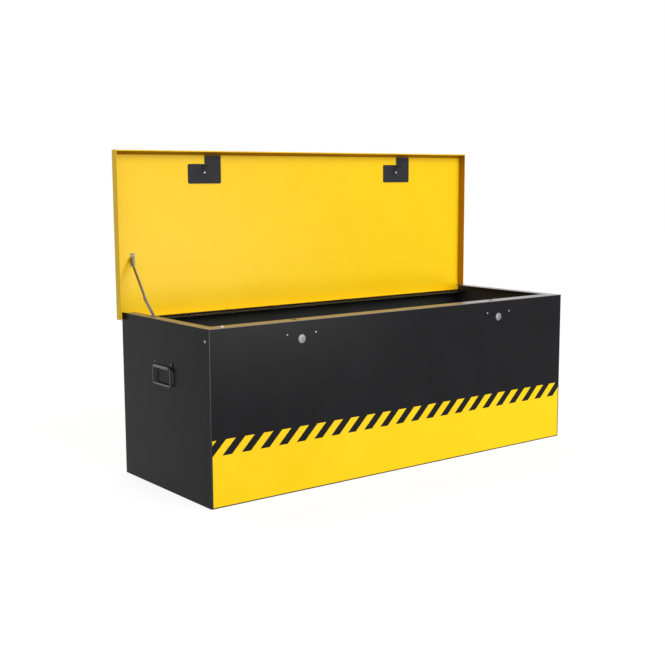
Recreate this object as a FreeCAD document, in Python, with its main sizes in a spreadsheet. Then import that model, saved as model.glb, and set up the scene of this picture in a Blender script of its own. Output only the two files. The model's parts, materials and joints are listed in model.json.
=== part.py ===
import FreeCAD, Part
import Sketcher
import math
import os
import re

# Site tool box: a folded steel chest with a full-width lid on a long hinge, shown with the lid open.
# Millimetres. Origin: middle of the base's underside. +X right along the front, +Y back, +Z up.

SIZES = {
    # chest
    "body_length": 1400,
    "body_depth": 500,
    "body_height": 494,
    "gauge": 2,
    "bend_radius": 3,
    "front_flange_width": 48,
    "end_flange_width": 34,
    "end_flange_back_gap": 22,
    "rear_flange_width": 44,
    "rear_flange_drop": 24,
    "tab_width": 30,
    "tab_corner_gap": 2,
    # fits
    "running_fit": 0.05,
    "rivet_fit": 0.05,
    "hole_clearance": 0.35,
    "side_clearance": 0.4,
    "overrun": 1,
    # end rivets
    "end_rivet_radius": 2,
    "end_rivet_head_radius": 4,
    "end_rivet_head_height": 1.8,
    "end_rivet_column_inset": 20,
    "end_rivet_row_height": 20,
    "end_rivet_top_drop": 35,
    "end_rivet_row_inset": 45,
    # lid
    "lid_gap": 5,
    "lid_front_overhang": 16,
    "lid_side_overhang": 11,
    "skirt_depth": 30,
    "rear_skirt_end_inset": 5,
    "rear_skirt_edge_gap": 1,
    "lip_drop": 13,
    "lip_edge": 3.6,
    "lip_fold": 1.5,
    "lip_gap": 0.6,
    # buffers on the front flange
    "buffer_inset": 50,
    "buffer_setback": 14,
    "buffer_radius": 4,
    "buffer_clearance": 0.2,
    "buffer_stem_radius": 2.5,
    "buffer_stem_length": 6,
    # hinge
    "hinge_inset": 13,
    "hinge_end_inset": 8,
    "knuckle_radius": 3,
    "hinge_pin_radius": 1.6,
    "leaf_gauge": 1.2,
    "leaf_width": 25,
    "bolt_end_inset": 54.8,
    "bolt_setback": 12,
    "bolt_radius": 2.5,
    "bolt_head_radius": 4.6,
    "bolt_head_height": 3.5,
    "bolt_nut_radius": 4.6,
    "bolt_nut_height": 4,
    "lid_rivet_setback": 19.5,
    "lid_rivet_radius": 1.6,
    "lid_rivet_head_radius": 3.2,
    "lid_rivet_head_height": 1.2,
    # locks
    "lock_offset": 395.5,
    "lock_drop": 52,
    "lock_face_radius": 13.5,
    "lock_face_height": 2,
    "lock_barrel_radius": 11,
    "lock_barrel_length": 26,
    "lock_nut_radius": 16,
    "lock_nut_height": 4,
    "lock_bracket_half_width": 62,
    "lock_bracket_below": 22,
    "lock_bracket_above": 24,
    "lock_rivet_spread": 50,
    "lock_rivet_rise": 15,
    "lock_rivet_radius": 1.6,
    "lock_rivet_head_radius": 2.8,
    "lock_rivet_head_height": 1.6,
    "plug_radius": 7,
    "plug_collar_radius": 9,
    "plug_collar_height": 0.8,
    "plug_end_float": 0.1,
    "keyway_width": 1.8,
    "keyway_height": 9,
    "keyway_depth": 8,
    "plug_tail_radius": 4,
    "plug_tail_length": 9,
    "hook_gauge": 3,
    "hook_hub_radius": 10,
    "hook_inner_radius": 17.5,
    "hook_outer_radius": 24,
    "hook_nut_radius": 6.5,
    "hook_nut_height": 4,
    # keep plates on the lid
    "keep_gauge": 2,
    "keep_left_reach": 59,
    "keep_right_reach": 60,
    "keep_far_edge": 100.5,
    "keep_step_edge": 40,
    "keep_tab_left": 1,
    "keep_tab_clearance": 0.5,
    "keep_corner_radius": 6,
    "tongue_setback": 28,
    "tongue_left": 10.3,
    "tongue_right": 3.7,
    "tongue_lip_below": 16.2,
    "tongue_lip_height": 5.5,
    "tongue_notch_height": 8.6,
    "tongue_stem_width": 4.8,
    "slot_side_clearance": 2,
    "slot_front_clearance": 4,
    "slot_back_clearance": 7,
    "keep_fixing_radius": 1.6,
    "keep_fixing_head_radius": 3.4,
    "keep_fixing_head_height": 1.4,
    "keep_upper_row": 54.4,
    "keep_lower_row": 87,
    "keep_fixing_left": 31,
    "keep_fixing_right": 40,
    "keep_stud_row": 66.4,
    "keep_stud_radius": 2.5,
    "keep_stud_head_radius": 4.2,
    "keep_stud_head_height": 2.4,
    # end handles
    "handle_height": 360,
    "handle_half_width": 53,
    "handle_plate_gauge": 2,
    "handle_plate_below": 8,
    "handle_plate_above": 19,
    "handle_stand_off": 7,
    "handle_barrel_wall": 1.9,
    "handle_barrel_half_length": 42,
    "bail_wire_radius": 2.5,
    "bail_half_width": 49,
    "bail_drop": 50,
    "bail_bend_radius": 6,
    "handle_rivet_rise": 12,
    "handle_rivet_spread": 46.5,
    "handle_rivet_radius": 2,
    "handle_rivet_head_radius": 3.6,
    "handle_rivet_head_height": 1.8,
    # lid stay on the left
    "stay_foot_ahead": 135,
    "stay_foot_rise": 7,
    "stay_head_reach": 175.5,
    "stay_head_below_lid": 8,
    "stay_gauge": 2.5,
    "stay_half_width": 6,
    "stay_pin_radius": 3,
    "stay_pin_head_radius": 5,
    "stay_pin_head_height": 1.8,
    "stay_ear_radius": 8,
    "stay_bracket_gauge": 2,
    "stay_foot_half_length": 20,
    "stay_foot_width": 14,
    "stay_rivet_spread": 13,
    "stay_rivet_radius": 1.6,
    "stay_rivet_head_radius": 3,
    "stay_rivet_head_height": 1.2,
}

# plain counts and ratios
KNUCKLES = 13
BOLTS = 9
SHANK_SIDES = 6
HEX_SIDES = 6
SMALL_SIDES = 8
ROUND_SIDES = 12
BARREL_SIDES = 24
BEND_STEPS = 3
QUARTER = 90
middle_rivet_share = 0.508
stay_slack_share = 1.005
stay_rivet_share = 0.6
hook_tip_angle = -9
hook_arm_start = 45
hook_arm_end = 75

doc = FreeCAD.newDocument("ToolBox")
sheet = doc.addObject("Spreadsheet::Sheet", "Sizes")
for row, (alias, size) in enumerate(SIZES.items(), start=1):
    sheet.set("A%d" % row, alias)
    sheet.set("B%d" % row, str(size))
    sheet.setAlias("B%d" % row, alias)
doc.recompute()

VECTOR = FreeCAD.Vector
UP = VECTOR(0, 0, 1)
DIRECTIONS = {
    "+x": VECTOR(1, 0, 0),
    "-x": VECTOR(-1, 0, 0),
    "+y": VECTOR(0, 1, 0),
    "-y": VECTOR(0, -1, 0),
    "+z": VECTOR(0, 0, 1),
    "-z": VECTOR(0, 0, -1),
}

# Turns a piece drawn flat so that it stands in the plane of the box's ends.
TO_SIDE = FreeCAD.Rotation(DIRECTIONS["+y"], DIRECTIONS["+z"], DIRECTIONS["+x"], "XYZ")


def formula(text):
    """Names the sheet before each of its sizes in a formula."""
    def named(match):
        word = match.group(0)
        return "Sizes." + word if word in SIZES else word
    return re.sub(r"[a-z_]+", named, text)


def value(text):
    """The number that a formula gives with the sheet's sizes."""
    return float(sheet.evalExpression(formula(text)))


def bind(item, **rules):
    """Binds properties of a document object to formulas of the sheet."""
    for name, rule in rules.items():
        item.setExpression(name, formula(rule))
    return item


def place(item, at, direction="+z"):
    """Turns an object's own Z to a direction and binds its position."""
    item.Placement = FreeCAD.Placement(VECTOR(), FreeCAD.Rotation(UP, DIRECTIONS[direction]))
    for axis, rule in zip("xyz", at):
        item.setExpression("Placement.Base." + axis, formula(rule))
    return item


def block(name, low, high):
    """A box between two corners given as formulas."""
    item = doc.addObject("Part::Box", name)
    sides = ["(%s) - (%s)" % (far, near) for near, far in zip(low, high)]
    bind(item, Length=sides[0], Width=sides[1], Height=sides[2])
    return place(item, low)


def rod(name, at, direction, radius, length):
    """A round bar from a point along a direction."""
    item = doc.addObject("Part::Cylinder", name)
    bind(item, Radius=radius, Height=length)
    return place(item, at, direction)


def prism(name, sides, at, direction, radius, height):
    """A bar with flat sides, also where twelve or more of them stand for round."""
    item = doc.addObject("Part::Prism", name)
    item.Polygon = sides
    bind(item, Circumradius=radius, Height=height)
    return place(item, at, direction)


def hole(name, at, direction, radius, length):
    """What is taken away for the shank of a small fastener."""
    return prism(name, SHANK_SIDES, at, direction, radius, length)


def bore(name, sides, at, direction, radius, length):
    """A flat-sided way through for a round pin: its flats stand at the radius."""
    reach = "(%s) / cos(%g deg)" % (radius, QUARTER * 2 / sides)
    return prism(name, sides, at, direction, reach, length)


def fuse(name, *items):
    """Joins objects into one solid."""
    item = doc.addObject("Part::MultiFuse", name)
    item.Shapes = list(items)
    return item


def group(name, *items):
    """Keeps identical fasteners together as separate solids."""
    item = doc.addObject("Part::Compound", name)
    item.Links = list(items)
    return item


def cut(name, base, *tools):
    """Takes tools away from a solid."""
    item = doc.addObject("Part::Cut", name)
    item.Base = base
    item.Tool = tools[0] if len(tools) == 1 else group(name + "_cutters", *tools)
    return item


def rounded(name, base, radius, chosen):
    """Rounds the edges of a solid that a test picks."""
    doc.recompute()
    item = doc.addObject("Part::Fillet", name)
    item.Base = base
    size = value(radius)
    picked = [number for number, edge in enumerate(base.Shape.Edges, start=1) if chosen(edge)]
    item.Edges = [(number, size, size) for number in picked]
    return item


def runs_along(edge, axis):
    """True for a straight edge parallel to an axis."""
    if edge.Curve.TypeId != "Part::GeomLine":
        return False
    step = edge.Vertexes[-1].Point - edge.Vertexes[0].Point
    return abs(abs(step.dot(axis)) - step.Length) < step.Length * 1e-6


def near(edge, **where):
    """True for an edge whose middle lies at the given formulas' values."""
    middle = edge.CenterOfMass
    return all(abs(getattr(middle, axis) - value(rule)) < 1e-3 for axis, rule in where.items())


def plane_of(body, role):
    """One of a body's own origin planes."""
    return [item for item in body.Origin.OriginFeatures if item.Role == role][0]


def outline(body, name, role, offset, points):
    """A closed sketch on one of the body's planes."""
    sketch = body.newObject("Sketcher::SketchObject", name)
    sketch.AttachmentSupport = (plane_of(body, role), [""])
    sketch.MapMode = "FlatFace"
    sketch.setExpression("AttachmentOffset.Base.z", formula(offset))
    return draw(sketch, points)


def draw(sketch, points):
    """Fills a sketch with a closed run of lines, each corner bound to two formulas."""
    corners = [VECTOR(value(across), value(up), 0) for across, up in points]
    count = len(corners)
    for number in range(count):
        sketch.addGeometry(Part.LineSegment(corners[number], corners[(number + 1) % count]), False)
    for number in range(count):
        sketch.addConstraint(Sketcher.Constraint("Coincident", number, 2, (number + 1) % count, 1))
    for number, rules in enumerate(points):
        for kind, rule in zip(("DistanceX", "DistanceY"), rules):
            link = Sketcher.Constraint(kind, -1, 1, number, 1, value(rule))
            index = sketch.addConstraint(link)
            sketch.setExpression("Constraints[%d]" % index, formula(rule))
    return sketch


def pad(body, name, sketch, length, midplane=False):
    """Raises a sketch into a solid of its body."""
    item = body.newObject("PartDesign::Pad", name)
    item.Profile = sketch
    item.Midplane = midplane
    item.setExpression("Length", formula(length))
    sketch.Visibility = False
    return item


def rivet(name, at, direction, shank, head, height, length, sides=ROUND_SIDES):
    """A fastener: its head stands on a face and its shank runs back through the sheets."""
    opposite = ("-" if direction[0] == "+" else "+") + direction[1]
    return fuse(
        name,
        prism(name + "_head", sides, at, direction, head, height),
        prism(name + "_shank", SHANK_SIDES, at, opposite, shank, length),
    )


def moved(at, axis, step):
    """A point given as formulas, moved along one axis."""
    shifted = list(at)
    place_of = "xyz".index(axis)
    shifted[place_of] = "%s + (%s)" % (at[place_of], step)
    return shifted


def sided(side, distance):
    """A distance from the middle plane on the left or the right."""
    return "-(%s)" % distance if side == "left" else "(%s)" % distance


def between(side, inner, outer):
    """Low and high X of a piece that lies between two distances on one side."""
    if side == "left":
        return "-(%s)" % outer, "-(%s)" % inner
    return "(%s)" % inner, "(%s)" % outer


SIDES = ("left", "right")
OUTWARD = {"left": "-x", "right": "+x"}
NODES = []


def finish(item, label):
    """Gives a finished piece its human name."""
    item.Label = label
    NODES.append(item)
    return item


# Faces and axes that pieces share.
END = "body_length / 2"
FRONT = "-body_depth / 2"
BACK = "body_depth / 2"
INNER_END = "(body_length / 2 - gauge)"
INNER_FRONT = "(gauge - body_depth / 2)"
INNER_BACK = "(body_depth / 2 - gauge)"
REAR_TOP = "(body_height - rear_flange_drop)"
HINGE_Y = "(body_depth / 2 - hinge_inset)"
HINGE_Z = "(body_height - rear_flange_drop + knuckle_radius)"
LEAF_TOP = "(body_height - rear_flange_drop + leaf_gauge)"
LID_INNER = "(%s + body_height + lid_gap - %s)" % (HINGE_Y, HINGE_Z)
LID_OUTER = "(%s + gauge)" % LID_INNER
LID_EDGE = "(%s + %s + body_depth / 2 + lid_front_overhang)" % (HINGE_Z, HINGE_Y)
LID_SIDE = "(body_length / 2 + lid_side_overhang)"
LOCK_Z = "(body_height - lock_drop)"
HOOK_Y = "(tongue_setback - body_depth / 2)"
HINGE_HALF = "(body_length / 2 - hinge_end_inset)"
SLOT_FRONT = "(%s - slot_front_clearance)" % HOOK_Y
SLOT_BACK = "(%s + hook_gauge + slot_back_clearance)" % HOOK_Y

# Chest: wrapper and end panels.

wrapper = doc.addObject("PartDesign::Body", "WrapperBlank")
wrapper_outline = outline(wrapper, "WrapperOutline", "YZ_Plane", "0", [
    ("front_flange_width - body_depth / 2", "body_height"),
    (FRONT, "body_height"),
    (FRONT, "0"),
    (BACK, "0"),
    (BACK, REAR_TOP),
    (BACK + " - rear_flange_width", REAR_TOP),
    (BACK + " - rear_flange_width", REAR_TOP + " - gauge"),
    (INNER_BACK, REAR_TOP + " - gauge"),
    (INNER_BACK, "gauge"),
    (INNER_FRONT, "gauge"),
    (INNER_FRONT, "body_height - gauge"),
    ("front_flange_width - body_depth / 2", "body_height - gauge"),
])
pad(wrapper, "WrapperPad", wrapper_outline, "body_length - 2 * gauge", midplane=True)


def outer_bend(edge):
    """The long outer corners of the wrapper's folds."""
    corners = ((FRONT, "body_height"), (FRONT, "0"), (BACK, "0"), (BACK, REAR_TOP))
    if not runs_along(edge, DIRECTIONS["+x"]):
        return False
    return any(near(edge, y=across, z=up) for across, up in corners)


def inner_bend(edge):
    """The long inner corners of the wrapper's folds."""
    tops = ("body_height - gauge", "gauge")
    if not runs_along(edge, DIRECTIONS["+x"]):
        return False
    front = any(near(edge, y=INNER_FRONT, z=up) for up in tops)
    back = any(near(edge, y=INNER_BACK, z=up) for up in ("gauge", REAR_TOP + " - gauge"))
    return front or back


wrapper_outer = rounded("WrapperOuterBends", wrapper, "bend_radius", outer_bend)
wrapper_bent = rounded("WrapperBends", wrapper_outer, "bend_radius - gauge", inner_bend)

tabs = []
for side in SIDES:
    low, high = between(side, INNER_END + " - gauge", INNER_END)
    tab_base = "gauge + tab_width + tab_corner_gap"
    tabs.append(block(
        side + "_front_tab",
        (low, INNER_FRONT, tab_base),
        (high, INNER_FRONT + " + tab_width", "body_height - 2 * gauge - tab_corner_gap"),
    ))
    tabs.append(block(
        side + "_back_tab",
        (low, INNER_BACK + " - tab_width", tab_base),
        (high, INNER_BACK, REAR_TOP + " - 2 * gauge - tab_corner_gap"),
    ))
    tabs.append(block(
        side + "_base_tab",
        (low, INNER_FRONT + " + tab_width + tab_corner_gap", "gauge"),
        (high, INNER_BACK + " - tab_width - tab_corner_gap", "gauge + tab_width"),
    ))
wrapper_folded = fuse("WrapperFolded", wrapper_bent, *tabs)

# Places of the fasteners that go through the sheets.

end_rivet_places = [
    ("end_rivet_column_inset - body_depth / 2", "body_height - end_rivet_top_drop"),
    ("end_rivet_column_inset - body_depth / 2", "body_height * %g" % middle_rivet_share),
    ("end_rivet_row_inset - body_depth / 2", "end_rivet_row_height"),
    ("0", "end_rivet_row_height"),
    ("body_depth / 2 - end_rivet_row_inset", "end_rivet_row_height"),
]
BOLT_SPAN = "(body_length - 2 * bolt_end_inset)"
bolt_places = ["%s * (%d / %d - 1 / 2)" % (BOLT_SPAN, number, BOLTS - 1) for number in range(BOLTS)]
lock_places = {"left": "-lock_offset", "right": "lock_offset"}

wrapper_holes = []
for side in SIDES:
    for number, (across, up) in enumerate(end_rivet_places, start=1):
        wrapper_holes.append(hole(
            "%s_tab_hole_%d" % (side, number),
            (sided(side, INNER_END + " - gauge - overrun"), across, up),
            OUTWARD[side],
            "end_rivet_radius + rivet_fit",
            "gauge + 2 * overrun",
        ))
    wrapper_holes.append(hole(
        side + "_buffer_hole",
        (sided(side, END + " - buffer_inset"), FRONT + " + buffer_setback", "body_height - gauge - overrun"),
        "+z",
        "buffer_stem_radius + rivet_fit",
        "gauge + 2 * overrun",
    ))
    centre = lock_places[side]
    wrapper_holes.append(prism(
        side + "_lock_hole", BARREL_SIDES,
        (centre, FRONT + " - overrun", LOCK_Z),
        "+y",
        "lock_barrel_radius + hole_clearance",
        "gauge + 2 * overrun",
    ))
    for hand in ("-", "+"):
        wrapper_holes.append(hole(
            "%s_lock_rivet_hole_%s" % (side, "a" if hand == "-" else "b"),
            (centre + hand + "lock_rivet_spread", FRONT + " - overrun", LOCK_Z + " + lock_rivet_rise"),
            "+y",
            "lock_rivet_radius + rivet_fit",
            "gauge + 2 * overrun",
        ))
    wrapper_holes.append(block(
        side + "_tongue_slot",
        (centre + " - tongue_left - slot_side_clearance", SLOT_FRONT, "body_height - gauge - overrun"),
        (centre + " + tongue_right + slot_side_clearance", SLOT_BACK, "body_height + overrun"),
    ))
for number, across in enumerate(bolt_places, start=1):
    wrapper_holes.append(hole(
        "flange_bolt_hole_%d" % number,
        (across, HINGE_Y + " - bolt_setback", REAR_TOP + " - gauge - overrun"),
        "+z",
        "bolt_radius + rivet_fit",
        "gauge + 2 * overrun",
    ))
finish(cut("Wrapper", wrapper_folded, *wrapper_holes), "body_wrapper")


def end_corner(edge):
    """The corners of an end panel that meet the wrapper's bends."""
    if not runs_along(edge, DIRECTIONS["+x"]):
        return False
    corners = ((FRONT, "0"), (FRONT, "body_height"), (BACK, "0"))
    return any(near(edge, y=across, z=up) for across, up in corners)


stay_a_y = "(%s - stay_foot_ahead)" % HINGE_Y
stay_a_z = "(%s + stay_foot_rise)" % HINGE_Z
RIM_EDGE = "(body_length / 2 - end_flange_width)"

for side in SIDES:
    low, high = between(side, INNER_END, END)
    sheet_blank = block(side + "_end_sheet", (low, FRONT, "0"), (high, BACK, "body_height"))
    sheet_round = rounded(side + "_end_corners", sheet_blank, "bend_radius", end_corner)
    low, high = between(side, RIM_EDGE, INNER_END)
    rim = block(
        side + "_end_rim",
        (low, FRONT + " + front_flange_width", "body_height - gauge"),
        (high, BACK + " - end_flange_back_gap", "body_height"),
    )
    holes = []
    for number, (across, up) in enumerate(end_rivet_places, start=1):
        holes.append(hole(
            "%s_panel_hole_%d" % (side, number),
            (sided(side, INNER_END + " - overrun"), across, up),
            OUTWARD[side],
            "end_rivet_radius + rivet_fit",
            "gauge + 2 * overrun",
        ))
    for hand in ("-", "+"):
        holes.append(hole(
            "%s_handle_hole_%s" % (side, "a" if hand == "-" else "b"),
            (sided(side, INNER_END + " - overrun"), hand + "handle_rivet_spread",
             "handle_height + handle_rivet_rise"),
            OUTWARD[side],
            "handle_rivet_radius + rivet_fit",
            "gauge + 2 * overrun",
        ))
    if side == "left":
        for hand in ("-", "+"):
            holes.append(hole(
                "rim_stay_hole_%s" % ("a" if hand == "-" else "b"),
                ("-(%s + stay_foot_width * %g)" % (RIM_EDGE, stay_rivet_share),
                 stay_a_y + hand + "stay_rivet_spread", "body_height - gauge - overrun"),
                "+z",
                "stay_rivet_radius + rivet_fit",
                "gauge + 2 * overrun",
            ))
    panel = cut(side + "_end", fuse(side + "_end_folded", sheet_round, rim), *holes)
    finish(panel, side + "_end_panel")
    rivets = []
    for number, (across, up) in enumerate(end_rivet_places, start=1):
        rivets.append(rivet(
            "%s_end_rivet_%d" % (side, number),
            (sided(side, END), across, up),
            OUTWARD[side],
            "end_rivet_radius", "end_rivet_head_radius", "end_rivet_head_height",
            "2 * gauge + overrun",
        ))
    finish(group(side + "_end_fixings", *rivets), side + "_end_rivets")

buffers = []
for side in SIDES:
    foot = (sided(side, END + " - buffer_inset"), FRONT + " + buffer_setback", "body_height")
    buffers.append(fuse(
        side + "_buffer",
        prism(side + "_buffer_pad", BARREL_SIDES, foot, "+z", "buffer_radius", "lid_gap - buffer_clearance"),
        prism(side + "_buffer_stem", SHANK_SIDES, foot, "-z", "buffer_stem_radius", "buffer_stem_length"),
    ))
finish(group("Buffers", *buffers), "lid_buffers")

# Hinge: two leaves with alternate knuckles on one pin.

KNUCKLE = "(%s * 2 / %d)" % (HINGE_HALF, KNUCKLES)
KNUCKLE_CUT = "(knuckle_radius + side_clearance)"
axis_start = "-" + HINGE_HALF


def hinge_leaf(name, own, sign, holes):
    """One leaf: a flat strip with the knuckles that are its own."""
    tip = HINGE_Y + sign + "leaf_width"
    root = HINGE_Y + sign + KNUCKLE_CUT
    first, last = (tip, root) if sign == "-" else (root, tip)
    pieces = [block(
        name + "_strip",
        ("-" + HINGE_HALF, first, REAR_TOP),
        (HINGE_HALF, last, LEAF_TOP),
    )]
    for number in range(KNUCKLES):
        if number % 2 != own:
            continue
        start = "%s + %s * %d + side_clearance / 2" % (axis_start, KNUCKLE, number)
        stop = "%s + %s * %d - side_clearance / 2" % (axis_start, KNUCKLE, number + 1)
        near_y, far_y = (root, HINGE_Y) if sign == "-" else (HINGE_Y, root)
        pieces.append(block(
            "%s_web_%d" % (name, number), (start, near_y, REAR_TOP), (stop, far_y, LEAF_TOP)))
        pieces.append(prism(
            "%s_knuckle_%d" % (name, number), ROUND_SIDES, (start, HINGE_Y, HINGE_Z), "+x",
            "knuckle_radius", "(%s) - (%s)" % (stop, start)))
    pin_way = bore(
        name + "_bore", SMALL_SIDES, (axis_start + " - overrun", HINGE_Y, HINGE_Z), "+x",
        "hinge_pin_radius + running_fit", "2 * %s + 2 * overrun" % HINGE_HALF)
    return cut(name, fuse(name + "_blank", *pieces), pin_way, *holes)


body_leaf_holes = []
lid_leaf_holes = []
bolts = []
nuts = []
lid_rivets = []
skirt_holes = []
for number, across in enumerate(bolt_places, start=1):
    seat = (across, HINGE_Y + " - bolt_setback", LEAF_TOP)
    under = (across, HINGE_Y + " - bolt_setback", REAR_TOP + " - gauge")
    grip = "leaf_gauge + gauge + bolt_nut_height"
    bolts.append(rivet(
        "hinge_bolt_%d" % number, seat, "+z",
        "bolt_radius", "bolt_head_radius", "bolt_head_height", grip, HEX_SIDES))
    nuts.append(cut(
        "hinge_nut_%d" % number,
        prism("hinge_nut_blank_%d" % number, HEX_SIDES, under, "-z", "bolt_nut_radius", "bolt_nut_height"),
        hole("hinge_nut_bore_%d" % number, moved(under, "z", "overrun"), "-z",
            "bolt_radius + rivet_fit", "bolt_nut_height + 2 * overrun"),
    ))
    body_leaf_holes.append(hole(
        "body_leaf_hole_%d" % number, moved(seat, "z", "overrun"), "-z",
        "bolt_radius + rivet_fit", "leaf_gauge + 2 * overrun"))
    seat = (across, HINGE_Y + " + lid_rivet_setback", REAR_TOP)
    grip = "leaf_gauge + gauge + lid_rivet_head_height"
    lid_rivets.append(rivet(
        "lid_leaf_rivet_%d" % number, seat, "-z",
        "lid_rivet_radius", "lid_rivet_head_radius", "lid_rivet_head_height", grip, SMALL_SIDES))
    for holes, name in ((lid_leaf_holes, "lid_leaf_hole"), (skirt_holes, "rear_skirt_hole")):
        holes.append(hole(
            "%s_%d" % (name, number), moved(seat, "z", "-overrun"), "+z",
            "lid_rivet_radius + rivet_fit", "leaf_gauge + gauge + 2 * overrun"))

finish(hinge_leaf("HingeBodyLeaf", 0, "-", body_leaf_holes), "hinge_body_leaf")
pin = rod("HingePin", (axis_start, HINGE_Y, HINGE_Z), "+x", "hinge_pin_radius", "2 * " + HINGE_HALF)
finish(pin, "hinge_pin")
finish(group("HingeBolts", *bolts), "hinge_bolts")
finish(group("HingeNuts", *nuts), "hinge_nuts")

# Lid, standing open: its panel is upright behind the chest.

lid = doc.addObject("PartDesign::Body", "LidBlank")
lid_outline = outline(lid, "LidOutline", "YZ_Plane", "0", [
    (LID_OUTER + " - skirt_depth", LID_EDGE),
    (LID_OUTER, LID_EDGE),
    (LID_OUTER, LEAF_TOP),
    (LID_INNER, LEAF_TOP),
    (LID_INNER, LID_EDGE + " - gauge"),
    (LID_OUTER + " - skirt_depth + lip_fold", LID_EDGE + " - gauge"),
    (LID_INNER + " - lip_gap", LID_EDGE + " - lip_drop + gauge"),
    (LID_INNER + " - lip_gap", LID_EDGE + " - lip_drop"),
    (LID_OUTER + " - skirt_depth", LID_EDGE + " - lip_edge"),
])
pad(lid, "LidPad", lid_outline, "2 * " + LID_SIDE, midplane=True)
skirts = []
for side in SIDES:
    low, high = between(side, LID_SIDE + " - gauge", LID_SIDE)
    skirts.append(block(
        side + "_lid_skirt",
        (low, LID_OUTER + " - skirt_depth", LEAF_TOP),
        (high, LID_OUTER, LID_EDGE),
    ))
skirts.append(block(
    "rear_lid_skirt",
    ("rear_skirt_end_inset - " + END, HINGE_Y + " + knuckle_radius + rear_skirt_edge_gap", LEAF_TOP),
    (END + " - rear_skirt_end_inset", LID_INNER, LEAF_TOP + " + gauge"),
))
lid_folded = fuse("LidFolded", lid, *skirts)


def lid_bend(edge):
    """The lid's outer corners: panel to front skirt and panel to side skirts."""
    if runs_along(edge, DIRECTIONS["+x"]):
        return near(edge, y=LID_OUTER, z=LID_EDGE)
    if runs_along(edge, DIRECTIONS["+z"]):
        sides = (sided("left", LID_SIDE), LID_SIDE)
        return any(near(edge, x=across, y=LID_OUTER) for across in sides)
    return False


lid_bent = rounded("LidBends", lid_folded, "bend_radius", lid_bend)

# Locks on the front and keep plates on the lid.

keep_places = [
    ("-keep_fixing_left", "keep_upper_row"),
    ("keep_fixing_right", "keep_upper_row"),
    ("keep_fixing_right", "keep_lower_row"),
    ("-keep_fixing_left", "keep_lower_row"),
]
lid_holes = list(skirt_holes)
KEEP_FACE = "(%s - keep_gauge)" % LID_INNER
TONGUE_Z = "(%s + %s - %s)" % (HINGE_Z, HINGE_Y, HOOK_Y)


def open_y(closed_height):
    """Where a height of the closed lid lies when the lid stands open."""
    return "(%s + (%s) - %s)" % (HINGE_Y, closed_height, HINGE_Z)


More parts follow.
